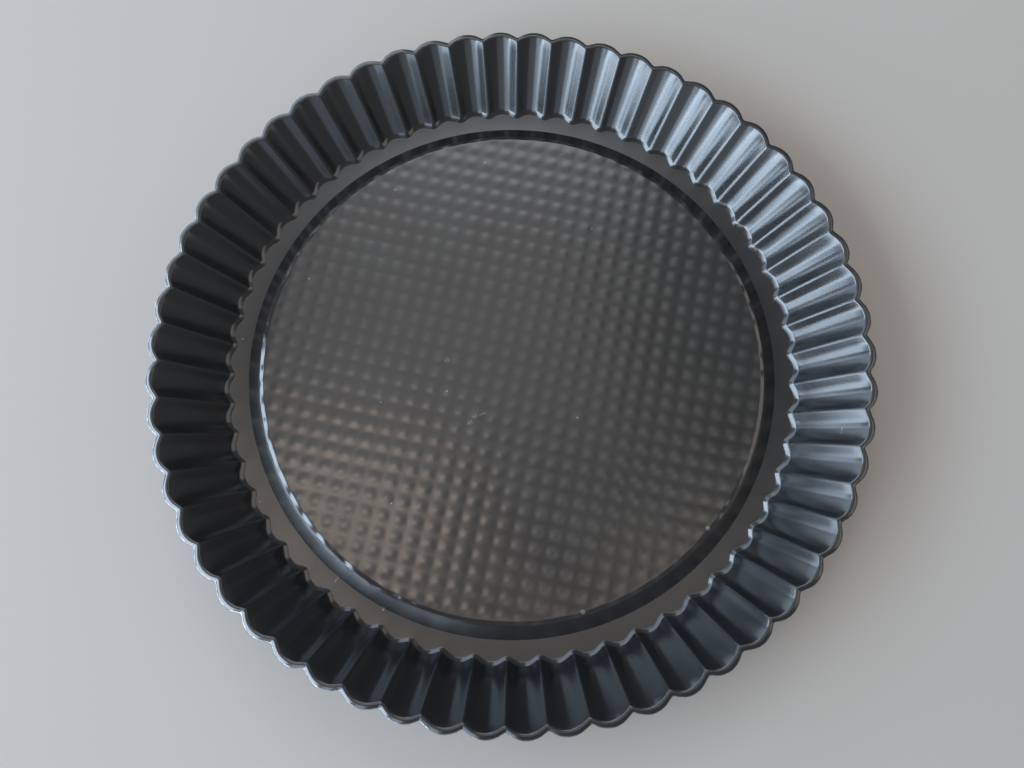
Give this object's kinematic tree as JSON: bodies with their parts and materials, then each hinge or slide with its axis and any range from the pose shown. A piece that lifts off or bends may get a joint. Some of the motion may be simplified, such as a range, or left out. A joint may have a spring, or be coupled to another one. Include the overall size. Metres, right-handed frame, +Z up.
{
  "type": "flan pan",
  "caption": "Round fluted flan pan: a flared, fluted ring with a turned-out lip and a flat trough, and a raised, waffle-embossed loose base that lifts out of it.",
  "frame": {"origin": "on the table plane, on the pan's axis", "axes": "+Z up along the pan's axis, +X through the tip of a flute's lobe"},
  "size_m": [0.28, 0.2796, 0.027],
  "materials": {
    "ring_coat": "satin non-stick coating on steel sheet",
    "base_coat": "satin non-stick coating on waffle-embossed steel sheet"
  },
  "bodies": {
    "ring": {"fluted_ring": "ring_coat"},
    "base": {"loose_base": "base_coat"}
  },
  "joints": [
    {"name": "base_lift", "type": "slide", "parent": "ring", "child": "base", "axis": [0, 0, 1], "range_m": [0, 0.04]}
  ]
}
